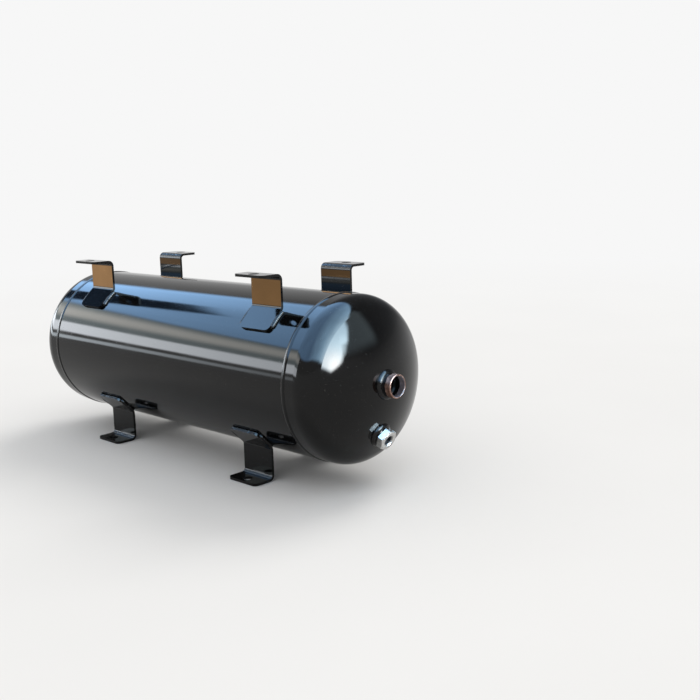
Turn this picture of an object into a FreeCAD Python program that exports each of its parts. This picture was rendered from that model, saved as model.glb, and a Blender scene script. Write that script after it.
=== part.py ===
import FreeCAD, Part
import math
import os
import Sketcher
from FreeCAD import Placement, Rotation, Vector

# Horizontal liquid receiver: a welded steel tank on four feet, with four brackets on top.
# X runs along the tank towards the end with the inlet, Z is up, and the front brackets are at -Y.
# The origin lies on the floor, in the middle of the four bolt holes of the feet.

SIZES = [
    ("shell_diameter", 159.0, "outside diameter of the tube and the heads"),
    ("shell_length", 376.0, "from the middle of one seam to the middle of the other"),
    ("wall", 4.0, "plate thickness of tube and heads"),
    ("head_flange", 12.0, "straight part of each head"),
    ("crown_radius", 127.2, "outside radius of the head's crown"),
    ("knuckle_radius", 24.5, "outside radius of the head's knuckle"),
    ("root_gap", 0.6, "gap between tube and head under the seam"),
    ("bevel", 2.2, "bevel of both plates at the seam"),
    ("seam_crown", 0.7, "height of the seam above the tube"),
    ("bracket_rise", 100.0, "from the tank's axis to the outer face of a bracket's flange"),
    ("bracket_width", 40.0, "width of the strip that a bracket is bent from"),
    ("strip", 2.5, "thickness of the strip"),
    ("bracket_offset", 47.5, "from the middle plane to the outer face of a bracket's web"),
    ("flange_reach", 21.8, "flange beyond the outer face of the web"),
    ("bend_radius", 3.5, "inside radius of the bends"),
    ("tab_slope", 45.0, "slope of the tab that lies on the tube, in degrees"),
    ("tab_length", 26.5, "inner face of the tab"),
    ("corner_radius", 5.0, "rounded corners of flange and tab"),
    ("bolt_hole", 10.0, "diameter of the hole in each flange"),
    ("hole_reach", 14.0, "from the outer face of the web to the middle of the hole"),
    ("top_spacing", 272.0, "between the middles of the top brackets, along the tank"),
    ("foot_spacing", 228.0, "between the middles of the feet, along the tank"),
    ("bead_leg", 3.0, "width of the bead beside a tab"),
    ("bead_rise", 2.8, "height of the bead beside a tab"),
    ("bead_arc", 15.0, "length of that bead round the tube, in degrees"),
    ("bead_lead", 2.5, "how far that bead starts nearer the bend, in degrees"),
    ("port_clearance", 0.1, "radial gap round what passes through a hole"),
    ("stub_diameter", 22.0, "outside diameter of a port stub"),
    ("stub_length", 12.0, "stub outside the head"),
    ("stub_inner", 8.0, "stub inside the head"),
    ("pipe_diameter", 19.0, "pipe that is soldered into a stub"),
    ("solder_gap", 0.05, "radial gap of the solder joint"),
    ("socket_depth", 12.0, "depth of the socket for the pipe"),
    ("stub_bore", 16.0, "bore behind the socket"),
    ("mouth_chamfer", 0.4, "chamfer at the mouth of a socket"),
    ("edge_chamfer", 0.5, "chamfer at the outer edge of a stub or boss"),
    ("ring_leg", 3.0, "leg of the ring of weld round a stub or boss"),
    ("dip_wall", 1.0, "wall of the dip tube"),
    ("dip_insert", 9.0, "dip tube inside its stub"),
    ("dip_run", 45.0, "from the stub's inner end to the middle of the leg that hangs down"),
    ("dip_bend", 25.0, "bend radius of the dip tube's middle line"),
    ("dip_clearance", 8.0, "from the dip tube's end to the tank's floor"),
    ("plug_offset", 48.5, "how far below the tank's axis the plug leaves the head"),
    ("boss_diameter", 18.0, "outside diameter of the plug's boss"),
    ("boss_rise", 3.4, "boss outside the head"),
    ("boss_inner", 1.0, "boss inside the head"),
    ("plug_thread", 13.2, "outside diameter of the plug's thread"),
    ("thread_gap", 0.05, "radial gap of the plug's thread"),
    ("plug_inner", 2.0, "plug beyond the inner end of its boss"),
    ("collar_diameter", 14.6, "collar between the boss and the hexagon"),
    ("collar_rise", 0.8, "height of the collar"),
    ("plug_hex", 18.0, "hexagon of the plug, across its flats"),
    ("hex_height", 6.2, "height of the hexagon"),
    ("hex_turn", 41.0, "how far the hexagon is turned when the plug is tight, in degrees"),
    ("hex_face", 17.0, "diameter of the flat face inside the hexagon's chamfer"),
    ("plug_bore", 8.5, "bore of the plug"),
    ("plug_countersink", 1.4, "countersink of the bore"),
    ("core_recess", 5.0, "how deep the fusible core lies below the face"),
]

doc = FreeCAD.newDocument("liquid_receiver")
sheet = doc.addObject("Spreadsheet::Sheet", "Sizes")
for row, (alias, value, note) in enumerate(SIZES, start=1):
    sheet.set("A%d" % row, alias)
    sheet.set("B%d" % row, str(value))
    sheet.set("C%d" % row, note)
    sheet.setAlias("B%d" % row, alias)
doc.recompute()

# What follows from the sizes above.
RADIUS = "Sizes.shell_diameter / 2"
SEAM = "Sizes.shell_length / 2"
HEAD_RIM = "(Sizes.shell_length + Sizes.root_gap) / 2"
DOME_DEPTH = (
    "(Sizes.crown_radius - sqrt((Sizes.crown_radius - Sizes.knuckle_radius) ^ 2"
    " - (Sizes.shell_diameter / 2 - Sizes.knuckle_radius) ^ 2))"
)
CROWN_CENTRE = "(%s + Sizes.head_flange + %s - Sizes.crown_radius)" % (HEAD_RIM, DOME_DEPTH)
PLUG_TILT = "asin(Sizes.plug_offset / Sizes.crown_radius)"

# How far apart two lengths may be and still count as the same.
TOLERANCE = 0.01


def number(expression):
    """The value of an expression, without its unit."""
    value = sheet.evalExpression(expression)
    return float(getattr(value, "Value", value))


def new_body(label):
    body = doc.addObject("PartDesign::Body", label)
    body.Label = label
    body.AllowCompound = True
    return body


def put(body, x, turn_axis=None, turn=None):
    """Stands a body at x on the tank's axis, turned about turn_axis by turn degrees."""
    if turn_axis is not None:
        body.Placement = Placement(Vector(), Rotation(turn_axis, number(turn)))
        body.setExpression("Placement.Rotation.Angle", turn)
    body.setExpression("Placement.Base.x", x)
    body.setExpression("Placement.Base.z", "Sizes.bracket_rise")


def new_sketch(body, name, plane, lift=None, turn_axis=None, turn=None):
    """A sketch on one of the body's own planes, lifted or turned where asked."""
    sketch = body.newObject("Sketcher::SketchObject", "%s_%s" % (body.Name, name))
    support = next(f for f in body.Origin.OriginFeatures if f.Role == plane)
    sketch.AttachmentSupport = [(support, "")]
    sketch.MapMode = "FlatFace"
    if turn_axis is not None:
        sketch.AttachmentOffset = Placement(Vector(), Rotation(turn_axis, number(turn)))
        sketch.setExpression("AttachmentOffset.Rotation.Angle", turn)
    if lift is not None:
        sketch.setExpression("AttachmentOffset.Base.z", lift)
    return sketch


def bind(sketch, kind, places, expression, name):
    """Adds a dimension that follows an expression."""
    value = number(expression)
    if kind in ("DistanceX", "DistanceY") and value < 0:
        places = places[2:] + places[:2]
        expression = "-(%s)" % expression
        value = -value
    index = sketch.addConstraint(Sketcher.Constraint(kind, *places, value))
    sketch.renameConstraint(index, name)
    sketch.setExpression("Constraints.%s" % name, expression)


def outline(sketch, corners, arcs=None, closed=True, first=1):
    """Draws straight sides through corners, each a pair of expressions.

    arcs gives a side a radius, by its number: the centre lies to the left of the way along the
    side where the radius expression is paired with +1, and to the right where it is paired with -1.
    """
    arcs = arcs or {}
    points = [Vector(number(x), number(y), 0) for x, y in corners]
    count = len(points)
    sides = []
    for i in range(count if closed else count - 1):
        p, q = points[i], points[(i + 1) % count]
        if i in arcs:
            radius, hand = number(arcs[i][0]), arcs[i][1]
            chord = q - p
            height = math.sqrt(radius ** 2 - (chord.Length / 2) ** 2)
            left = Vector(-chord.y, chord.x, 0).normalize()
            centre = (p + q) * 0.5 + left * height * hand
            ends = (p, q) if hand > 0 else (q, p)
            angles = [math.atan2((e - centre).y, (e - centre).x) for e in ends]
            circle = Part.Circle(centre, Vector(0, 0, 1), radius)
            index = sketch.addGeometry(Part.ArcOfCircle(circle, *angles), False)
            sides.append((index, 1, 2) if hand > 0 else (index, 2, 1))
            bind(sketch, "Radius", [index], arcs[i][0], "radius_%d_%d" % (first, i))
        else:
            sides.append((sketch.addGeometry(Part.LineSegment(p, q), False), 1, 2))
    for i, (index, start, end) in enumerate(sides):
        after = sides[(i + 1) % len(sides)]
        if closed or i + 1 < len(sides):
            sketch.addConstraint(Sketcher.Constraint("Coincident", index, end, after[0], after[1]))
    for i, (x, y) in enumerate(corners):
        index, place = sides[i][:2] if i < len(sides) else sides[-1][::2]
        straight = i > 0 and i - 1 not in arcs
        if straight and x == corners[i - 1][0]:
            sketch.addConstraint(Sketcher.Constraint("Vertical", sides[i - 1][0]))
        elif x == "0":
            sketch.addConstraint(Sketcher.Constraint("PointOnObject", index, place, -2))
        else:
            bind(sketch, "DistanceX", [-1, 1, index, place], x, "across_%d_%d" % (first, i))
        if straight and y == corners[i - 1][1]:
            sketch.addConstraint(Sketcher.Constraint("Horizontal", sides[i - 1][0]))
        elif y == "0":
            sketch.addConstraint(Sketcher.Constraint("PointOnObject", index, place, -1))
        else:
            bind(sketch, "DistanceY", [-1, 1, index, place], y, "up_%d_%d" % (first, i))
    return sides


def circle(sketch, radius, name, up=None):
    """A circle about the sketch's origin, or up its upright axis."""
    at = Vector(0, number(up) if up else 0, 0)
    index = sketch.addGeometry(Part.Circle(at, Vector(0, 0, 1), number(radius)), False)
    if up:
        sketch.addConstraint(Sketcher.Constraint("PointOnObject", index, 3, -2))
        bind(sketch, "DistanceY", [-1, 1, index, 3], up, name + "_place")
    else:
        sketch.addConstraint(Sketcher.Constraint("Coincident", index, 3, -1, 1))
    bind(sketch, "Radius", [index], radius, name)


def pad(body, sketch, length, symmetric=False):
    feature = body.newObject("PartDesign::Pad", sketch.Name + "_pad")
    feature.Profile = sketch
    feature.setExpression("Length", length)
    if symmetric:
        feature.SideType = "Symmetric"
    doc.recompute()
    return feature


def revolve(body, sketch, kind="Revolution"):
    """Turns a profile all the way round the level axis of its sketch."""
    feature = body.newObject("PartDesign::" + kind, sketch.Name + "_turned")
    feature.Profile = sketch
    feature.ReferenceAxis = (sketch, ["H_Axis"])
    feature.Angle = 360.0
    doc.recompute()
    return feature


def pocket(body, sketch, length=None, reverse=False):
    before = body.Shape.Volume
    feature = body.newObject("PartDesign::Pocket", sketch.Name + "_cut")
    feature.Profile = sketch
    feature.Reversed = reverse
    if length is None:
        feature.Type = "ThroughAll"
    else:
        feature.setExpression("Length", length)
    doc.recompute()
    if not body.Shape.Volume < before:
        raise RuntimeError("%s removes nothing" % feature.Name)
    return feature


def edges_where(feature, test):
    """Names of the edges of a feature for which the test holds."""
    return ["Edge%d" % (i + 1) for i, edge in enumerate(feature.Shape.Edges) if test(edge)]


def dress(body, feature, kind, test, size):
    """Rounds or chamfers the edges that the test picks."""
    names = edges_where(feature, test)
    if not names:
        raise RuntimeError("%s: no edge to dress" % body.Name)
    done = body.newObject("PartDesign::" + kind, "%s_%s" % (feature.Name, kind.lower()))
    done.Base = (feature, names)
    done.setExpression("Radius" if kind == "Fillet" else "Size", size)
    doc.recompute()
    return done


def near(value, target):
    return abs(value - target) < TOLERANCE


def rim(x, radius):
    """A test for a circle about the X axis, at x, of this radius."""
    at, size = number(x), number(radius)

    def is_rim(edge):
        if edge.Degenerated or not isinstance(edge.Curve, Part.Circle):
            return False
        centre = edge.Curve.Center
        on_axis = near(math.hypot(centre.y, centre.z), 0)
        return near(edge.Curve.Radius, size) and near(centre.x, at) and on_axis

    return is_rim


# The tube, with its ends bevelled for the seams.
def make_shell():
    body = new_body("shell")
    sketch = new_sketch(body, "section", "YZ_Plane")
    circle(sketch, RADIUS, "outside")
    circle(sketch, RADIUS + " - Sizes.wall", "inside")
    tube = pad(body, sketch, "Sizes.shell_length - Sizes.root_gap", symmetric=True)
    end = "(Sizes.shell_length - Sizes.root_gap) / 2"
    right, left = rim(end, RADIUS), rim("-" + end, RADIUS)
    dress(body, tube, "Chamfer", lambda e: right(e) or left(e), "Sizes.bevel")
    put(body, "0")
    return body


# A pressed head: straight flange, knuckle and crown. Its own frame has the rim at x = 0.
def make_head(label):
    body = new_body(label)
    sketch = new_sketch(body, "section", "XZ_Plane")
    big, small = number("Sizes.crown_radius"), number("Sizes.knuckle_radius")
    radius, flange = number(RADIUS), number("Sizes.head_flange")
    crown = Vector(flange + number(DOME_DEPTH) - big, 0, 0)
    knuckle = Vector(flange, radius - small, 0)
    lean = math.atan2(knuckle.y, knuckle.x - crown.x)
    meet = crown + Vector(math.cos(lean), math.sin(lean), 0) * big
    rim_line = sketch.addGeometry(Part.LineSegment(Vector(), Vector(0, radius, 0)), False)
    side = sketch.addGeometry(
        Part.LineSegment(Vector(0, radius, 0), Vector(flange, radius, 0)), False
    )
    small_arc = sketch.addGeometry(
        Part.ArcOfCircle(Part.Circle(knuckle, Vector(0, 0, 1), small), lean, math.pi / 2), False
    )
    big_arc = sketch.addGeometry(
        Part.ArcOfCircle(Part.Circle(crown, Vector(0, 0, 1), big), 0, lean), False
    )
    middle = sketch.addGeometry(Part.LineSegment(crown + Vector(big, 0, 0), Vector()), False)
    rules = [
        ("Coincident", rim_line, 1, -1, 1),
        ("Coincident", rim_line, 2, side, 1),
        ("Tangent", side, 2, small_arc, 2),
        ("Tangent", small_arc, 1, big_arc, 2),
        ("Coincident", big_arc, 1, middle, 1),
        ("Coincident", middle, 2, -1, 1),
        ("Vertical", rim_line),
        ("Horizontal", side),
        ("Horizontal", middle),
        ("PointOnObject", big_arc, 3, -1),
    ]
    for rule in rules:
        sketch.addConstraint(Sketcher.Constraint(*rule))
    bind(sketch, "DistanceY", [rim_line, 1, rim_line, 2], RADIUS, "outside")
    bind(sketch, "DistanceX", [side, 1, side, 2], "Sizes.head_flange", "flange")
    bind(sketch, "Radius", [small_arc], "Sizes.knuckle_radius", "knuckle")
    bind(sketch, "Radius", [big_arc], "Sizes.crown_radius", "crown")
    solid = revolve(body, sketch)
    open_face = [
        "Face%d" % (i + 1)
        for i, face in enumerate(solid.Shape.Faces)
        if near(face.BoundBox.XLength, 0)
    ]
    hollow = body.newObject("PartDesign::Thickness", label + "_wall")
    hollow.Base = (solid, open_face)
    hollow.Reversed = True
    hollow.setExpression("Value", "Sizes.wall")
    doc.recompute()
    dress(body, hollow, "Chamfer", rim("0", RADIUS), "Sizes.bevel")
    sketch = new_sketch(body, "port", "YZ_Plane")
    circle(sketch, "Sizes.stub_diameter / 2 + Sizes.port_clearance", "hole")
    pocket(body, sketch, reverse=True)
    return body


# The seam: a bead that fills both bevels and stands a little above the tube.
def make_seam(label, x):
    body = new_body(label)
    sketch = new_sketch(body, "section", "XZ_Plane")
    root, half = "Sizes.root_gap / 2", "Sizes.root_gap / 2 + Sizes.bevel"
    inside, shoulder = RADIUS + " - Sizes.wall", RADIUS + " - Sizes.bevel"
    crown = "((%s) ^ 2 + Sizes.seam_crown ^ 2) / (2 * Sizes.seam_crown)" % half
    corners = [
        ("-(%s)" % root, inside),
        (root, inside),
        (root, shoulder),
        (half, RADIUS),
        ("-(%s)" % half, RADIUS),
        ("-(%s)" % root, shoulder),
    ]
    outline(sketch, corners, arcs={3: (crown, 1)})
    revolve(body, sketch)
    put(body, x)
    return body


# A bracket: one strip, bent to a flange, a web and a tab that lies on the tube.
# Its own frame is that of the rear bracket on top of the tank.
def make_bracket(label, x, turn_axis):
    body = new_body(label)
    sketch = new_sketch(body, "section", "YZ_Plane")
    web_out = "Sizes.bracket_offset"
    web_in = "Sizes.bracket_offset - Sizes.strip"
    tip = "Sizes.bracket_offset + Sizes.flange_reach"
    top, under = "Sizes.bracket_rise", "Sizes.bracket_rise - Sizes.strip"
    sine, cosine = "sin(Sizes.tab_slope)", "cos(Sizes.tab_slope)"
    foot_in = "(%s - (%s) * %s) / %s" % (RADIUS, web_in, sine, cosine)
    foot_out = "(%s + Sizes.strip - (%s) * %s) / %s" % (RADIUS, web_out, sine, cosine)
    end_y = "%s + Sizes.tab_length * %s" % (web_in, cosine)
    end_z = "%s - Sizes.tab_length * %s" % (foot_in, sine)
    corners = [
        (tip, top),
        (tip, under),
        (web_out, under),
        (web_out, foot_out),
        ("%s + Sizes.strip * %s" % (end_y, sine), "%s + Sizes.strip * %s" % (end_z, cosine)),
        (end_y, end_z),
        (web_in, foot_in),
        (web_in, top),
    ]
    outline(sketch, corners)
    strip = pad(body, sketch, "Sizes.bracket_width", symmetric=True)

    def bend(y, z):
        at = (number(y), number(z))

        def is_bend(edge):
            box = edge.BoundBox
            along = near(box.YLength, 0) and near(box.ZLength, 0)
            return along and near(box.YMin, at[0]) and near(box.ZMin, at[1])

        return is_bend

    hollow_bends = [bend(web_out, under), bend(web_out, foot_out)]
    round_bends = [bend(web_in, top), bend(web_in, foot_in)]
    inner, outer = "Sizes.bend_radius", "Sizes.bend_radius + Sizes.strip"
    strip = dress(body, strip, "Fillet", lambda e: any(is_it(e) for is_it in hollow_bends), inner)
    strip = dress(body, strip, "Fillet", lambda e: any(is_it(e) for is_it in round_bends), outer)
    reach, end, thickness = number(tip), number(end_z), number("Sizes.strip")

    def is_corner(edge):
        box = edge.BoundBox
        at_tip = near(box.YMin, reach)
        at_end = box.ZMin < end + thickness and not near(box.YLength, 0)
        return near(box.XLength, 0) and near(edge.Length, thickness) and (at_tip or at_end)

    dress(body, strip, "Fillet", is_corner, "Sizes.corner_radius")
    sketch = new_sketch(body, "hole", "XY_Plane", lift="Sizes.bracket_rise")
    circle(sketch, "Sizes.bolt_hole / 2", "hole", up="Sizes.bracket_offset + Sizes.hole_reach")
    pocket(body, sketch, length="2 * Sizes.strip")
    put(body, x, turn_axis, "180" if turn_axis else None)
    return body


# The two beads that hold a bracket's tab, one along each side of it.
def make_beads(label, x, turn_axis):
    body = new_body(label)
    sketch = new_sketch(
        body, "section", "XY_Plane",
        turn_axis=Vector(1, 0, 0), turn="90 - Sizes.tab_slope + Sizes.bead_lead",
    )
    side = "Sizes.bracket_width / 2"
    toe = side + " + Sizes.bead_leg"
    crest = RADIUS + " + Sizes.bead_rise"
    bulge = "1.2 * max(Sizes.bead_leg; Sizes.bead_rise)"
    outline(sketch, [(side, RADIUS), (toe, RADIUS), (side, crest)], arcs={1: (bulge, 1)})
    mirrored = [("-(%s)" % side, RADIUS), ("-(%s)" % side, crest), ("-(%s)" % toe, RADIUS)]
    outline(sketch, mirrored, arcs={1: (bulge, 1)}, first=2)
    beads = revolve(body, sketch)
    beads.setExpression("Angle", "Sizes.bead_arc")
    beads.Midplane = True
    put(body, x, turn_axis, "180" if turn_axis else None)
    return body


# Where a port stands: its own frame has x = 0 at the middle of the crown's sphere.
def put_port(body, end, tilted=False):
    if end == "inlet" and tilted:
        put(body, CROWN_CENTRE, Vector(0, 1, 0), PLUG_TILT)
    elif end == "inlet":
        put(body, CROWN_CENTRE)
    else:
        put(body, "-" + CROWN_CENTRE, Vector(0, 0, 1), "180")


CROWN = "Sizes.crown_radius"
STUB_IN = CROWN + " - Sizes.wall - Sizes.stub_inner"
STUB_OUT = CROWN + " + Sizes.stub_length"


# A port stub: a turned sleeve with a socket for the pipe and a smaller bore behind it.
def make_stub(label, end):
    body = new_body(label)
    sketch = new_sketch(body, "section", "XZ_Plane")
    outer = "Sizes.stub_diameter / 2"
    socket = "Sizes.pipe_diameter / 2 + Sizes.solder_gap"
    bore = "Sizes.stub_bore / 2"
    stop = STUB_OUT + " - Sizes.socket_depth"
    corners = [
        (STUB_IN, bore),
        (STUB_IN, outer),
        (STUB_OUT, outer),
        (STUB_OUT, socket),
        (stop, socket),
        (stop, bore),
    ]
    outline(sketch, corners)
    sleeve = revolve(body, sketch)
    sleeve = dress(body, sleeve, "Chamfer", rim(STUB_OUT, socket), "Sizes.mouth_chamfer")
    dress(body, sleeve, "Chamfer", rim(STUB_OUT, outer), "Sizes.edge_chamfer")
    put_port(body, end)
    return body


# The ring of weld between the crown and what passes through it.
def make_ring(label, inner, end, tilted=False):
    body = new_body(label)
    sketch = new_sketch(body, "section", "XZ_Plane")
    outer = inner + " + Sizes.ring_leg"
    low = "sqrt(Sizes.crown_radius ^ 2 - (%s) ^ 2)"
    corners = [
        (low % inner, inner),
        (low % outer, outer),
        ("%s + Sizes.ring_leg" % (low % inner), inner),
    ]
    outline(sketch, corners, arcs={0: (CROWN, 1), 1: ("1.2 * Sizes.ring_leg", -1)})
    revolve(body, sketch)
    put_port(body, end, tilted)
    return body


# The dip tube: it draws the liquid from the tank's floor to the outlet.
def make_dip_tube(label):
    body = new_body(label)
    start = STUB_IN + " + Sizes.dip_insert"
    leg = STUB_IN + " - Sizes.dip_run"
    bottom = "-(%s - Sizes.wall - Sizes.dip_clearance)" % RADIUS
    path = new_sketch(body, "path", "XZ_Plane")
    corners = [
        (start, "0"),
        (leg + " + Sizes.dip_bend", "0"),
        (leg, "-Sizes.dip_bend"),
        (leg, bottom),
    ]
    outline(path, corners, arcs={1: ("Sizes.dip_bend", 1)}, closed=False)
    section = new_sketch(body, "section", "YZ_Plane", lift=start)
    outer = "Sizes.stub_bore / 2 - Sizes.port_clearance"
    circle(section, outer, "outside")
    circle(section, outer + " - Sizes.dip_wall", "inside")
    doc.recompute()
    pipe = body.newObject("PartDesign::AdditivePipe", label + "_pipe")
    pipe.Profile = section
    pipe.Spine = (path, ["Edge%d" % (i + 1) for i in range(len(path.Shape.Edges))])
    doc.recompute()
    put_port(body, "outlet")
    return body


BOSS_IN = CROWN + " - Sizes.wall - Sizes.boss_inner"
BOSS_OUT = CROWN + " + Sizes.boss_rise"
HEX_BACK = BOSS_OUT + " + Sizes.collar_rise"
HEX_FRONT = HEX_BACK + " + Sizes.hex_height"
PLUG_IN = BOSS_IN + " - Sizes.plug_inner"


# The boss that the plug is screwed into.
def make_boss(label):
    body = new_body(label)
    sketch = new_sketch(body, "section", "XZ_Plane")
    bore, outer = "Sizes.plug_thread / 2 + Sizes.thread_gap", "Sizes.boss_diameter / 2"
    outline(sketch, [(BOSS_IN, bore), (BOSS_IN, outer), (BOSS_OUT, outer), (BOSS_OUT, bore)])
    boss = revolve(body, sketch)
    dress(body, boss, "Chamfer", rim(BOSS_OUT, outer), "Sizes.edge_chamfer")
    put_port(body, "inlet", tilted=True)
    return body


# The fusible plug: shank, collar and chamfered hexagon round an open bore.
def make_plug(label):
    body = new_body(label)
    bore = "Sizes.plug_bore / 2"
    sketch = new_sketch(body, "shank", "XZ_Plane")
    shank, collar = "Sizes.plug_thread / 2", "Sizes.collar_diameter / 2"
    corners = [
        (PLUG_IN, bore),
        (PLUG_IN, shank),
        (BOSS_OUT, shank),
        (BOSS_OUT, collar),
        (HEX_BACK, collar),
        (HEX_BACK, bore),
    ]
    outline(sketch, corners)
    revolve(body, sketch)
    sketch = new_sketch(
        body, "hexagon", "YZ_Plane", lift=HEX_BACK, turn_axis=Vector(0, 0, 1), turn="Sizes.hex_turn"
    )
    across = number("Sizes.plug_hex / sqrt(3)")
    turns = [i * math.pi / 3 for i in range(6)]
    ends = [Vector(across * math.cos(a), across * math.sin(a), 0) for a in turns]
    for i in range(6):
        sketch.addGeometry(Part.LineSegment(ends[i], ends[(i + 1) % 6]), False)
    guide = sketch.addGeometry(Part.Circle(Vector(), Vector(0, 0, 1), across), True)
    sketch.addConstraint(Sketcher.Constraint("Coincident", guide, 3, -1, 1))
    for i in range(6):
        sketch.addConstraint(Sketcher.Constraint("Coincident", i, 2, (i + 1) % 6, 1))
        sketch.addConstraint(Sketcher.Constraint("PointOnObject", i, 1, guide))
        if i:
            sketch.addConstraint(Sketcher.Constraint("Equal", 0, i))
    sketch.addConstraint(Sketcher.Constraint("PointOnObject", 0, 1, -1))
    bind(sketch, "Radius", [guide], "Sizes.plug_hex / sqrt(3)", "across")
    pad(body, sketch, "Sizes.hex_height")
    sketch = new_sketch(body, "bore", "XZ_Plane")
    sink = "Sizes.plug_countersink"
    corners = [
        (HEX_BACK, "0"),
        (HEX_BACK, bore),
        ("%s - %s" % (HEX_FRONT, sink), bore),
        (HEX_FRONT, "%s + %s" % (bore, sink)),
        (HEX_FRONT, "0"),
    ]
    outline(sketch, corners)
    revolve(body, sketch, "Groove")
    sketch = new_sketch(body, "chamfer", "XZ_Plane")
    face, wide = "Sizes.hex_face / 2", "Sizes.plug_hex / sqrt(3)"
    depth = "(%s - %s) * tan(30)" % (wide, face)
    corners = [(HEX_FRONT, face), (HEX_FRONT, wide), ("%s - %s" % (HEX_FRONT, depth), wide)]
    outline(sketch, corners)
    revolve(body, sketch, "Groove")
    put_port(body, "inlet", tilted=True)
    return body


# The core of low-melting alloy that closes the plug's bore.
def make_core(label):
    body = new_body(label)
    sketch = new_sketch(body, "section", "XZ_Plane")
    bore, face = "Sizes.plug_bore / 2", HEX_FRONT + " - Sizes.core_recess"
    outline(sketch, [(PLUG_IN, "0"), (PLUG_IN, bore), (face, bore), (face, "0")])
    revolve(body, sketch)
    put_port(body, "inlet", tilted=True)
    return body


parts = [make_shell()]

# The head with the inlet also holds the plug's boss, below the inlet.
inlet_head = make_head("head_inlet_end")
plug_hole = new_sketch(
    inlet_head, "plug_hole", "YZ_Plane", turn_axis=Vector(1, 0, 0), turn=PLUG_TILT
)
plug_hole.setExpression(
    "AttachmentOffset.Base.z", "Sizes.head_flange + %s - Sizes.crown_radius" % DOME_DEPTH
)
circle(plug_hole, "Sizes.boss_diameter / 2 + Sizes.port_clearance", "hole")
pocket(inlet_head, plug_hole, reverse=True)
put(inlet_head, HEAD_RIM)

outlet_head = make_head("head_outlet_end")
put(outlet_head, "-(%s)" % HEAD_RIM, Vector(0, 0, 1), "180")
parts += [inlet_head, outlet_head]
parts.append(make_seam("seam_weld_inlet_end", SEAM))
parts.append(make_seam("seam_weld_outlet_end", "-(%s)" % SEAM))

# Eight brackets alike, turned about the tank: four on top and four as feet.
TURNS = {
    ("top", "rear"): None,
    ("top", "front"): Vector(0, 0, 1),
    ("foot", "front"): Vector(1, 0, 0),
    ("foot", "rear"): Vector(0, 1, 0),
}
for (place, side), axis in TURNS.items():
    spacing = "Sizes.%s_spacing / 2" % place
    for end, x in (("right", spacing), ("left", "-" + spacing)):
        name = "%s_%s_%s" % (place, side, end)
        parts.append(make_bracket("bracket_" + name, x, axis))
        parts.append(make_beads("weld_" + name, x, axis))

for end in ("inlet", "outlet"):
    parts.append(make_stub(end + "_stub", end))
    parts.append(make_ring(end + "_stub_weld", "Sizes.stub_diameter / 2", end))
parts.append(make_dip_tube("dip_tube"))
parts.append(make_boss("plug_boss"))
parts.append(make_ring("plug_boss_weld", "Sizes.boss_diameter / 2", "inlet", tilted=True))
parts.append(make_plug("fusible_plug"))
parts.append(make_core("fusible_core"))

doc.recompute()
for item in doc.Objects:
    if "Invalid" in item.State or "Error" in item.State:
        raise RuntimeError("%s did not build" % item.Label)
for part in parts:
    if part.Shape.isNull() or not part.Shape.isValid():
        raise RuntimeError("%s has no valid shape" % part.Label)

os.makedirs("parts", exist_ok=True)
for part in parts:
    part.Shape.exportStep(os.path.join("parts", part.Label + ".step"))
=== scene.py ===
import math

import bmesh
import bpy
from mathutils import Matrix, Vector


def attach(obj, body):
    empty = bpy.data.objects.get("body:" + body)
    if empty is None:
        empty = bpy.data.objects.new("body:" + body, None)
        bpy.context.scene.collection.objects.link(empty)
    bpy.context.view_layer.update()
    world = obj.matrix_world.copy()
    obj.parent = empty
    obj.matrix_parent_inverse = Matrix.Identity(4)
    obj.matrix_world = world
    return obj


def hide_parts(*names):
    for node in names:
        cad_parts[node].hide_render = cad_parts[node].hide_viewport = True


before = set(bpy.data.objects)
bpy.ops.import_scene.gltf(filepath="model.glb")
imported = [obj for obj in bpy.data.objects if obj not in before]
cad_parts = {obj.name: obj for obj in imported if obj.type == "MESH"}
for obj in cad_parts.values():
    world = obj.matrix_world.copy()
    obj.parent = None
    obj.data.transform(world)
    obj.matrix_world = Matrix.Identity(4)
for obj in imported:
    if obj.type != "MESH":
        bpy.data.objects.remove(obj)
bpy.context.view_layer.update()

# Sizes in metres, as in the model of the tank.
RADIUS = 0.0795
RISE = 0.1
CROWN_RADIUS = 0.1272
CROWN_CENTRE = 0.11357
PLUG_DROP = 0.0485
PLUG_TILT = math.asin(PLUG_DROP / CROWN_RADIUS)
STRIP_HALF = 0.02
TOP_HALF = 0.136
FOOT_HALF = 0.114
# Heights of the upper webs, where a bronze reflection is painted; on their inner faces it starts
# INNER_START higher.
WEB_LOW = 0.1699
WEB_HIGH = 0.194
INNER_START = 0.017
STUB_BARE = 0.24685
FLOOR_DROP = 0.0005

# The weld beads beside the tabs: where they start and end round the tube in degrees, then metres.
BEAD_START = 40.0
BEAD_STOP = 55.0
BEAD_LENGTH = 0.0208
BEAD_TAPER = 0.0018
BEAD_LEG = 0.003
BEAD_RISE = 0.0028

# The pale tone of the background, and the index of refraction of the black enamel.
PALE = 0.93
ENAMEL_INDEX = 1.3


# Materials: every surface gets its colour, gloss and relief from nodes in metres.
def new_material(name):
    material = bpy.data.materials.new(name)
    material.use_nodes = True
    tree = material.node_tree
    shader = tree.nodes["Principled BSDF"]
    place = tree.nodes.new("ShaderNodeTexCoord")
    return material, tree, shader, place.outputs["Object"]


def noise(tree, place, scale, detail=2.0, roughness=0.5, distortion=0.0):
    node = tree.nodes.new("ShaderNodeTexNoise")
    node.inputs["Scale"].default_value = scale
    node.inputs["Detail"].default_value = detail
    node.inputs["Roughness"].default_value = roughness
    node.inputs["Distortion"].default_value = distortion
    tree.links.new(place, node.inputs["Vector"])
    return node.outputs["Fac"]


def grey(value):
    return (value, value, value)


def ramp(tree, factor, stops):
    node = tree.nodes.new("ShaderNodeValToRGB")
    elements = node.color_ramp.elements
    while len(elements) < len(stops):
        elements.new(0.5)
    for element, (position, colour) in zip(elements, stops):
        element.position = position
        element.color = (*colour, 1.0)
    tree.links.new(factor, node.inputs["Fac"])
    return node.outputs["Color"]


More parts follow.
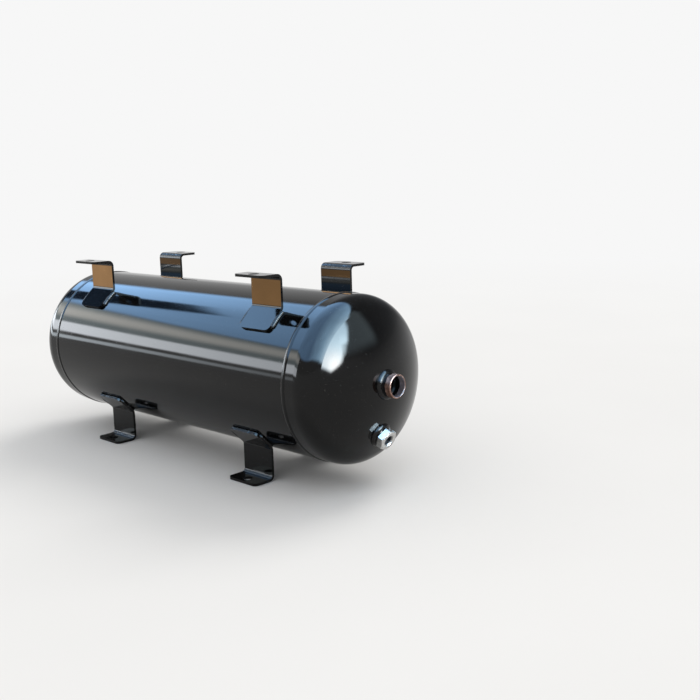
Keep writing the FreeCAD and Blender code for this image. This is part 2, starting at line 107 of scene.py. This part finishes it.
def span(tree, factor, low, high, to_low, to_high):
    node = tree.nodes.new("ShaderNodeMapRange")
    for socket, value in zip(node.inputs[1:5], (low, high, to_low, to_high)):
        socket.default_value = value
    tree.links.new(factor, node.inputs[0])
    return node.outputs[0]


def calculate(tree, kind, a, b):
    node = tree.nodes.new("ShaderNodeMath")
    node.operation = kind
    for socket, value in zip(node.inputs, (a, b)):
        if isinstance(value, (int, float)):
            socket.default_value = value
        else:
            tree.links.new(value, socket)
    return node.outputs[0]


def sum_of_squares(tree, a, b):
    return calculate(
        tree, "ADD", calculate(tree, "POWER", a, 2.0), calculate(tree, "POWER", b, 2.0)
    )


def mix(tree, factor, a, b):
    node = tree.nodes.new("ShaderNodeMix")
    node.data_type = "RGBA"
    tree.links.new(factor, node.inputs["Factor"])
    for socket, colour in (("A", a), ("B", b)):
        target = next(s for s in node.inputs if s.name == socket and s.type == "RGBA")
        if isinstance(colour, tuple):
            target.default_value = (*colour, 1.0)
        else:
            tree.links.new(colour, target)
    return next(s for s in node.outputs if s.type == "RGBA")


def axes_of(tree, place):
    node = tree.nodes.new("ShaderNodeSeparateXYZ")
    tree.links.new(place, node.inputs[0])
    return node.outputs


def bump(tree, shader, height, distance):
    """Relief of the given depth, on top of what the shader already has."""
    node = tree.nodes.new("ShaderNodeBump")
    node.inputs["Distance"].default_value = distance
    node.inputs["Strength"].default_value = 1.0
    tree.links.new(height, node.inputs["Height"])
    if shader.inputs["Normal"].is_linked:
        tree.links.new(shader.inputs["Normal"].links[0].from_socket, node.inputs["Normal"])
    tree.links.new(node.outputs["Normal"], shader.inputs["Normal"])


def turned(tree, place, location, rotation, scale=(1.0, 1.0, 1.0)):
    node = tree.nodes.new("ShaderNodeMapping")
    node.vector_type = "TEXTURE"
    node.inputs["Location"].default_value = location
    node.inputs["Rotation"].default_value = rotation
    node.inputs["Scale"].default_value = scale
    tree.links.new(place, node.inputs["Vector"])
    return node.outputs["Vector"]


def web_reflection_mask(tree, place):
    """One where a bronze reflection is painted: the flat upright faces of the upper brackets, high up
    only on the inner ones.
    """
    facing = axes_of(tree, tree.nodes.new("ShaderNodeTexCoord").outputs["Normal"])[1]
    _, depth, height = axes_of(tree, place)
    flat = span(tree, calculate(tree, "ABSOLUTE", facing, 0.0), 0.94, 0.985, 0.0, 1.0)
    # On the inner faces the painted reflection starts INNER_START higher, as their lower part mirrors
    # the dark tank.
    inner = span(tree, calculate(tree, "MULTIPLY", facing, depth), -0.01, 0.01, INNER_START, 0.0)
    over = calculate(tree, "SUBTRACT", height, inner)
    above = span(tree, over, WEB_LOW - 0.0005, WEB_LOW + 0.0005, 0.0, 1.0)
    below = span(tree, height, WEB_HIGH - 0.0004, WEB_HIGH + 0.0004, 1.0, 0.0)
    return calculate(tree, "MULTIPLY", calculate(tree, "MULTIPLY", flat, above), below)


def end_face(tree, place):
    """One on the free ends of the brackets' tabs, zero elsewhere."""
    facing = axes_of(tree, tree.nodes.new("ShaderNodeTexCoord").outputs["Normal"])
    _, depth, height = axes_of(tree, place)
    slope = calculate(tree, "MULTIPLY", facing[1], facing[2])
    corner = calculate(tree, "MULTIPLY", depth, calculate(tree, "SUBTRACT", height, RISE))
    against = calculate(tree, "MULTIPLY", slope, calculate(tree, "SIGN", corner, 0.0))
    return span(tree, against, -0.46, -0.36, 1.0, 0.0)


def painted_web_reflection(tree, place, clouds):
    """Painted reflection: a bronze tint for warm surroundings mirrored in the webs, darker towards the
    inlet's end and darkest on the rear brackets.
    """
    reflected_tint = ramp(tree, clouds, [(0.3, (0.27, 0.146, 0.058)), (0.7, (0.33, 0.18, 0.072))])
    x, y, _ = axes_of(tree, place)
    by_end = span(tree, x, -0.13, 0.13, 0.0, 0.5)
    by_side = span(tree, y, -0.01, 0.01, 0.0, 0.82)
    return mix(tree, calculate(tree, "MAXIMUM", by_end, by_side), reflected_tint, (0.03, 0.02, 0.012))


def enamel(name, peel, dust, waves, painted_reflection_and_rough_ends=False):
    """Glossy black enamel: faint orange peel, waves along the tank, haze and specks of dust.

    With this flag it also has a painted reflection on the upper webs, a metallic bronze tint standing
    in for warm surroundings mirrored there, and the rough paint of the tabs' ends.
    """
    material, tree, shader, place = new_material(name)
    clouds = noise(tree, place, 22.0, 4.0, 0.55, 0.6)
    specks = noise(tree, place, 900.0, 1.0, 0.5)
    tone = ramp(tree, clouds, [(0.3, (0.0016, 0.0017, 0.002)), (0.7, (0.0034, 0.0034, 0.0034))])
    spots = span(tree, specks, 0.72, 0.8, 0.0, dust)
    tone = mix(tree, spots, tone, (0.2, 0.19, 0.17))
    if painted_reflection_and_rough_ends:
        # Painted reflection: a metallic bronze tint on the upper webs, for warm surroundings they
        # mirror.
        reflecting_web = web_reflection_mask(tree, place)
        tone = mix(tree, reflecting_web, tone, painted_web_reflection(tree, place, clouds))
        tree.links.new(reflecting_web, shader.inputs["Metallic"])
    tree.links.new(tone, shader.inputs["Base Color"])
    haze = span(tree, clouds, 0.3, 0.75, 0.045, 0.1)
    rough = calculate(tree, "ADD", haze, spots)
    shader.inputs["IOR"].default_value = ENAMEL_INDEX
    bump(tree, shader, noise(tree, place, 330.0, 2.0, 0.5), peel)
    bump(tree, shader, noise(tree, place, 45.0, 1.0, 0.4), 8.0 * peel)
    along = turned(tree, place, (0.0, 0.0, 0.0), (0.0, 0.0, 0.0), (6.0, 1.0, 1.0))
    bump(tree, shader, noise(tree, along, 28.0, 2.0, 0.45), waves)
    if painted_reflection_and_rough_ends:
        end, burrs = end_face(tree, place), noise(tree, place, 240.0, 3.0, 0.6)
        bump(tree, shader, calculate(tree, "MULTIPLY", burrs, end), 0.0006)
        matt = calculate(tree, "MULTIPLY", span(tree, burrs, 0.56, 0.64, 0.6, 0.0), end)
        rough = calculate(tree, "ADD", rough, matt)
    tree.links.new(rough, shader.inputs["Roughness"])
    return material


def weld_enamel(name):
    """The same enamel over weld metal, with pores and spatter."""
    material, tree, shader, place = new_material(name)
    clouds = noise(tree, place, 160.0, 3.0, 0.6)
    tone = ramp(tree, clouds, [(0.35, (0.004, 0.004, 0.0045)), (0.75, (0.012, 0.011, 0.01))])
    tree.links.new(tone, shader.inputs["Base Color"])
    tree.links.new(span(tree, clouds, 0.3, 0.7, 0.05, 0.13), shader.inputs["Roughness"])
    shader.inputs["IOR"].default_value = ENAMEL_INDEX
    bump(tree, shader, noise(tree, place, 700.0, 3.0, 0.6), 0.00012)
    return material


def stub_metal(name, end):
    """Bare copper-coloured plating at the mouth, enamel near the head, dull brown in the bore."""
    material, tree, shader, place = new_material(name)
    x, y, z = axes_of(tree, place)
    ragged = span(tree, noise(tree, place, 260.0, 3.0, 0.6), 0.2, 0.8, -0.0009, 0.0009)
    along = calculate(tree, "ADD", calculate(tree, "MULTIPLY", x, float(end)), ragged)
    bare = span(tree, along, STUB_BARE - 0.00025, STUB_BARE + 0.00025, 0.0, 1.0)
    off = calculate(tree, "SUBTRACT", z, RISE)
    outside = span(tree, sum_of_squares(tree, y, off), 0.0097 ** 2, 0.01 ** 2, 0.0, 1.0)
    stain = noise(tree, place, 190.0, 4.0, 0.6, 0.8)
    copper = ramp(
        tree, stain,
        [(0.25, (0.13, 0.07, 0.05)), (0.5, (0.28, 0.16, 0.122)), (0.78, (0.38, 0.245, 0.195))],
    )
    brown = ramp(tree, stain, [(0.3, (0.12, 0.105, 0.115)), (0.75, (0.21, 0.19, 0.21))])
    metal = mix(tree, outside, brown, copper)
    tree.links.new(mix(tree, bare, (0.006, 0.006, 0.0065), metal), shader.inputs["Base Color"])
    shine = span(tree, outside, 0.0, 1.0, 0.1, 0.85)
    tree.links.new(calculate(tree, "MULTIPLY", bare, shine), shader.inputs["Metallic"])
    dull = span(tree, stain, 0.3, 0.7, 0.3, 0.5)
    gloss = calculate(tree, "MULTIPLY", calculate(tree, "SUBTRACT", 1.0, bare), 0.27)
    tree.links.new(calculate(tree, "SUBTRACT", dull, gloss), shader.inputs["Roughness"])
    bump(tree, shader, noise(tree, place, 1300.0, 2.0, 0.6), 0.00005)
    return material


def zinc(name):
    """Bright zinc plating with turned rings on the face, small stains and a darker grey bore."""
    material, tree, shader, place = new_material(name)
    local = turned(tree, place, (CROWN_CENTRE, 0.0, RISE), (0.0, PLUG_TILT, 0.0))
    x, y, z = axes_of(tree, local)
    square = sum_of_squares(tree, y, z)
    turns = calculate(tree, "MULTIPLY", calculate(tree, "SQRT", square, 0.0), 21000.0)
    rings = calculate(tree, "SINE", turns, 0.0)
    stain = noise(tree, place, 420.0, 4.0, 0.6, 0.4)
    tone = ramp(
        tree, stain,
        [(0.25, (0.38, 0.38, 0.37)), (0.55, (0.58, 0.575, 0.56)), (0.8, (0.74, 0.73, 0.7))],
    )
    bore = span(tree, square, 0.0045 ** 2, 0.0058 ** 2, 1.0, 0.0)
    tone = mix(tree, bore, tone, (0.13, 0.13, 0.135))
    tree.links.new(tone, shader.inputs["Base Color"])
    shader.inputs["Metallic"].default_value = 1.0
    tree.links.new(span(tree, stain, 0.25, 0.75, 0.46, 0.34), shader.inputs["Roughness"])
    bump(tree, shader, rings, 0.00001)
    bump(tree, shader, noise(tree, place, 1100.0, 2.0, 0.5), 0.00004)
    return material


def dull_metal(name, dark, light, rough):
    material, tree, shader, place = new_material(name)
    stain = noise(tree, place, 300.0, 4.0, 0.6)
    tree.links.new(ramp(tree, stain, [(0.3, dark), (0.75, light)]), shader.inputs["Base Color"])
    shader.inputs["Metallic"].default_value = 0.9
    tree.links.new(span(tree, stain, 0.3, 0.7, rough - 0.08, rough + 0.08), shader.inputs["Roughness"])
    bump(tree, shader, noise(tree, place, 900.0, 3.0, 0.6), 0.00006)
    return material


tank_enamel = enamel("tank_enamel", peel=0.0000022, dust=0.25, waves=0.00013)
strip_enamel = enamel("strip_enamel", peel=0.000004, dust=0.3, waves=0.00003, painted_reflection_and_rough_ends=True)
bead_enamel = weld_enamel("bead_enamel")
node_materials = {
    "inlet_stub": stub_metal("inlet_stub_metal", 1),
    "outlet_stub": stub_metal("outlet_stub_metal", -1),
    "fusible_plug": zinc("plug_zinc"),
    "fusible_core": dull_metal("core_alloy", (0.04, 0.04, 0.042), (0.11, 0.11, 0.115), 0.55),
    "dip_tube": dull_metal("tube_steel", (0.25, 0.24, 0.23), (0.5, 0.49, 0.47), 0.42),
}


def dress(name, node):
    if name in node_materials:
        material = node_materials[name]
    elif name.startswith("bracket_"):
        material = strip_enamel
    elif "weld" in name and not name.startswith("seam"):
        material = bead_enamel
    else:
        material = tank_enamel
    node.data.materials.clear()
    node.data.materials.append(material)


for name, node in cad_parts.items():
    dress(name, node)


# Weld beads beside the tabs: overlapping ripples, thinner at both ends.
def bead_mesh(mesh, x_side, hand, seed):
    """A fillet along one side of a tab, bent round the tube, with its foot in the tube."""
    steps, across = 120, 9
    ripples = 13.0
    foot = RADIUS - 0.0002
    rows = []
    for i in range(steps + 1):
        share = i / steps
        angle = math.radians(BEAD_START + (BEAD_STOP - BEAD_START) * share)
        end = min(share, 1.0 - share) * BEAD_LENGTH
        taper = math.sqrt(min(1.0, max(0.0, end / BEAD_TAPER)))
        beat = (share * ripples + 0.35 * math.sin(share * 9.0 + seed)) % 1.0
        lump = 0.5 * math.sin(share * 17.0 + seed * 2.3) + 0.5 * math.sin(share * 7.0 + seed)
        swell = (0.9 + 0.1 * math.sqrt(1.0 - (1.0 - beat) ** 2) + 0.05 * lump) * taper
        row = []
        for j in range(across + 1):
            turn = math.pi / 2 * j / across
            leg = BEAD_LEG * swell * math.cos(turn) ** 0.8
            rise = BEAD_RISE * swell * math.sin(turn) ** 0.8 - 0.00003
            row.append((x_side + hand * leg, RADIUS + rise))
        row.append((x_side, foot))
        rows.append(
            [mesh.verts.new((x, reach * math.cos(angle), reach * math.sin(angle))) for x, reach in row]
        )
    for a, b in zip(rows, rows[1:]):
        for j in range(len(a)):
            k = (j + 1) % len(a)
            mesh.faces.new((a[j], a[k], b[k], b[j]))
    mesh.faces.new(rows[0])
    mesh.faces.new(list(reversed(rows[-1])))


def new_piece(name, mesh, material, replaced):
    bmesh.ops.recalc_face_normals(mesh, faces=mesh.faces)
    data = bpy.data.meshes.new(name)
    mesh.to_mesh(data)
    mesh.free()
    data.materials.append(material)
    data.shade_smooth()
    piece = bpy.data.objects.new(name, data)
    bpy.context.collection.objects.link(piece)
    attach(piece, "root")
    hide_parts(replaced)
    return piece


TURNS = {
    "top_rear": Matrix.Identity(4),
    "top_front": Matrix.Rotation(math.pi, 4, "Z"),
    "foot_front": Matrix.Rotation(math.pi, 4, "X"),
    "foot_rear": Matrix.Rotation(math.pi, 4, "Y"),
}
for place_name, turn in TURNS.items():
    half = TOP_HALF if place_name.startswith("top") else FOOT_HALF
    for end_name, sign in (("right", 1), ("left", -1)):
        beads = bmesh.new()
        seed = len(place_name) * 1.7 + sign + half * 40
        bead_mesh(beads, STRIP_HALF, 1, seed)
        bead_mesh(beads, -STRIP_HALF, -1, seed + 2.0)
        bmesh.ops.transform(
            beads, matrix=Matrix.Translation((sign * half, 0.0, RISE)) @ turn, verts=beads.verts
        )
        label = "%s_%s" % (place_name, end_name)
        new_piece("beads_" + label, beads, bead_enamel, "weld_" + label)


def seen_directly(tree):
    """One for what the camera sees itself or in a reflection, zero for soft light."""
    rays = tree.nodes.new("ShaderNodeLightPath").outputs
    sharp = calculate(tree, "MAXIMUM", rays["Is Camera Ray"], rays["Is Glossy Ray"])
    return calculate(tree, "MAXIMUM", sharp, rays["Is Transmission Ray"])


# The floor: one wide pale sheet that runs out into the pale background.
floor_data = bpy.data.meshes.new("floor")
floor_mesh = bmesh.new()
bmesh.ops.create_grid(floor_mesh, x_segments=8, y_segments=8, size=60.0)
floor_mesh.to_mesh(floor_data)
floor_mesh.free()
floor = bpy.data.objects.new("floor", floor_data)
bpy.context.collection.objects.link(floor)
floor.location.z = -FLOOR_DROP
material, tree, shader, place = new_material("floor_paper")
grain = noise(tree, place, 3.0, 3.0, 0.5)
paper = ramp(tree, grain, [(0.3, (0.79, 0.79, 0.785)), (0.7, (0.81, 0.81, 0.805))])
tree.links.new(paper, shader.inputs["Base Color"])
shader.inputs["Roughness"].default_value = 0.9
shader.inputs["Specular IOR Level"].default_value = 0.0
across, along, _ = axes_of(tree, place)
distance = calculate(tree, "SQRT", sum_of_squares(tree, across, along), 0.0)
far = span(tree, distance, 0.6, 2.2, 0.0, 1.0)
backdrop = tree.nodes.new("ShaderNodeEmission")
backdrop.inputs["Color"].default_value = (*grey(PALE), 1.0)
blend = tree.nodes.new("ShaderNodeMixShader")
tree.links.new(calculate(tree, "MULTIPLY", far, seen_directly(tree)), blend.inputs["Fac"])
tree.links.new(shader.outputs["BSDF"], blend.inputs[1])
tree.links.new(backdrop.outputs["Emission"], blend.inputs[2])
tree.links.new(blend.outputs["Shader"], tree.nodes["Material Output"].inputs["Surface"])
floor_data.materials.append(material)


# The surroundings: pale round the horizon, dim overhead, with soft-edged lights.
def outwards(azimuth, elevation):
    """The direction of a place in the studio: azimuth from +X towards +Y, in degrees."""
    a, e = math.radians(azimuth), math.radians(elevation)
    return Vector((math.cos(a) * math.cos(e), math.sin(a) * math.cos(e), math.sin(e)))


def nearness(tree, direction, azimuth, elevation, sharpness):
    """One at a place in the surroundings, less with the angle from it, zero past a right angle."""
    node = tree.nodes.new("ShaderNodeVectorMath")
    node.operation = "DOT_PRODUCT"
    node.inputs[1].default_value = outwards(azimuth, elevation)
    tree.links.new(direction, node.inputs[0])
    near = calculate(tree, "MAXIMUM", node.outputs["Value"], 0.0)
    return calculate(tree, "POWER", near, sharpness)


def soft_window(tree, direction, azimuth, elevation, wide, tall, side_soft, edge_soft):
    """One inside a window of the surroundings, zero outside, with soft edges; all in degrees."""
    turn = tree.nodes.new("ShaderNodeVectorRotate")
    turn.rotation_type = "Z_AXIS"
    turn.inputs["Angle"].default_value = -math.radians(azimuth)
    tree.links.new(direction, turn.inputs["Vector"])
    x, y, z = axes_of(tree, turn.outputs["Vector"])
    sideways = calculate(tree, "ABSOLUTE", calculate(tree, "ARCTAN2", y, x), 0.0)
    rise = calculate(tree, "SUBTRACT", calculate(tree, "ARCSINE", z, 0.0), math.radians(elevation))
    rise = calculate(tree, "ABSOLUTE", rise, 0.0)
    factors = []
    for angle, size, soft in ((sideways, wide, side_soft), (rise, tall, edge_soft)):
        low, high = math.radians(size / 2 - soft), math.radians(size / 2 + soft)
        edge = span(tree, angle, low, high, 1.0, 0.0)
        edge.node.interpolation_type = "SMOOTHSTEP"
        factors.append(edge)
    return calculate(tree, "MULTIPLY", *factors)


def with_windows(tree, direction, surroundings, windows):
    """The surroundings with each window laid over them in turn."""
    for *place, colour in windows:
        surroundings = mix(tree, soft_window(tree, direction, *place), surroundings, colour)
    return surroundings


# Dim walls behind the blue light, and bright strips and a dark patch in front of it. Each has
# azimuth, elevation, width, height, softness sideways and upwards, and a colour.
WALLS = (
    (78.0, 33.0, 112.0, 48.0, 14.0, 12.0, (0.26, 0.27, 0.29)),
    (26.0, 33.0, 36.0, 33.0, 5.0, 5.0, (1.7, 2.1, 2.3)),
)
WINDOWS = (
    (-148.0, 17.0, 56.0, 21.0, 1.5, 1.0, (2.4, 2.8, 2.9)),
    (-148.0, 22.2, 56.0, 6.0, 1.5, 2.4, (6.4, 6.4, 6.1)),
    (-148.0, 10.2, 56.0, 8.2, 1.5, 1.0, (11.0, 11.6, 12.3)),
    (-166.0, 1.6, 48.0, 2.8, 20.0, 0.7, (7.9, 8.7, 9.3)),
    (-175.0, 29.0, 11.0, 19.0, 1.2, 1.2, (0.06, 0.11, 0.2)),
)
SKY_LEAN = 0.47
GLOW_AT = (16.0, 5.0)
LOW_SUN_AT = (-4.0, 9.0)
world = bpy.data.worlds.new("studio")
bpy.context.scene.world = world
world.use_nodes = True
tree = world.node_tree
direction = tree.nodes.new("ShaderNodeTexCoord").outputs["Generated"]
inlet_side, depth, height = axes_of(tree, direction)
surroundings = ramp(
    tree, height,
    [
        (0.0, grey(PALE)),
        (0.18, grey(PALE)),
        (0.22, grey(0.72)),
        (0.54, grey(0.72)),
        (0.72, grey(0.38)),
        (1.0, grey(0.38)),
    ],
)
surroundings = with_windows(tree, direction, surroundings, WALLS)
# A wide blue light over the front half, which leans back as it rises. Its lower edge comes down
# towards the inlet's side, where the blue turns into a white glow, and lifts again to the rear.
lean = calculate(tree, "SUBTRACT", calculate(tree, "MULTIPLY", height, SKY_LEAN), depth)
front = span(tree, lean, -0.05, 0.01, 0.0, 1.0)
skyline = ramp(
    tree, inlet_side,
    [
        (0.46, grey(0.455)),
        (0.65, grey(0.405)),
        (0.8, grey(0.34)),
        (0.91, grey(0.25)),
        (0.985, grey(0.085)),
    ],
)
rise = span(tree, depth, -0.15, 0.1, 0.0, 0.13)
rise = calculate(tree, "MULTIPLY", rise, span(tree, inlet_side, 0.7, 0.88, 0.0, 1.0))
skyline = calculate(tree, "ADD", skyline, rise)
above = span(tree, calculate(tree, "SUBTRACT", height, skyline), -0.02, 0.03, 0.0, 1.0)
sky = mix(tree, nearness(tree, direction, *GLOW_AT, 1.0), (2.9, 5.1, 8.3), (11.4, 18.8, 25.7))
sky = mix(tree, nearness(tree, direction, *GLOW_AT, 8.0), sky, (52.0, 66.0, 73.0))
clouds = span(tree, noise(tree, direction, 3.0, 3.0, 0.5), 0.3, 0.7, 0.0, 0.22)
sky = mix(tree, clouds, sky, (0.3, 0.5, 0.8))
sky = mix(tree, nearness(tree, direction, *LOW_SUN_AT, 60.0), sky, (62.0, 64.0, 64.0))
surroundings = mix(tree, calculate(tree, "MULTIPLY", front, above), surroundings, sky)
surroundings = with_windows(tree, direction, surroundings, WINDOWS)
# Soft light sees only a plain pale world, and the camera only the background.
soft_light = ramp(tree, height, [(0.0, grey(0.7)), (0.6, grey(0.92))])
surroundings = mix(tree, seen_directly(tree), soft_light, surroundings)
camera_rays = tree.nodes.new("ShaderNodeLightPath").outputs["Is Camera Ray"]
background = tree.nodes["Background"]
tree.links.new(mix(tree, camera_rays, surroundings, grey(PALE)), background.inputs["Color"])
background.inputs["Strength"].default_value = 1.0

key_data = bpy.data.lights.new("key", "SUN")
key_data.energy = 1.0
key_data.angle = math.radians(28.0)
key_data.color = (1.0, 0.97, 0.93)
key = bpy.data.objects.new("key", key_data)
bpy.context.collection.objects.link(key)
key.visible_glossy = False
key.rotation_euler = outwards(95.0, 48.0).to_track_quat("Z", "Y").to_euler()


# The camera stands where the photograph was taken from; its yaw, pitch and roll are in degrees.
CAMERA_AT = (0.7722, -0.6136, 0.2865)
CAMERA_TURNS = (42.7244, 9.9215, -1.4638)
camera_data = bpy.data.cameras.new("camera")
camera_data.sensor_width = 36.0
camera_data.lens = 47.68
camera_data.shift_x = -0.0109
camera_data.shift_y = -0.0193
camera = bpy.data.objects.new("camera", camera_data)
bpy.context.collection.objects.link(camera)
yaw, pitch, roll = (math.radians(turn) for turn in CAMERA_TURNS)
forward = Vector(
    (-math.sin(yaw) * math.cos(pitch), math.cos(yaw) * math.cos(pitch), -math.sin(pitch))
)
level = Vector((math.cos(yaw), math.sin(yaw), 0.0))
upright = level.cross(forward)
right = math.cos(roll) * level + math.sin(roll) * upright
up = -math.sin(roll) * level + math.cos(roll) * upright
pose = Matrix((right, up, -forward)).transposed().to_4x4()
camera.matrix_world = Matrix.Translation(CAMERA_AT) @ pose
bpy.context.scene.camera = camera
bpy.context.scene.view_settings.view_transform = "Standard"
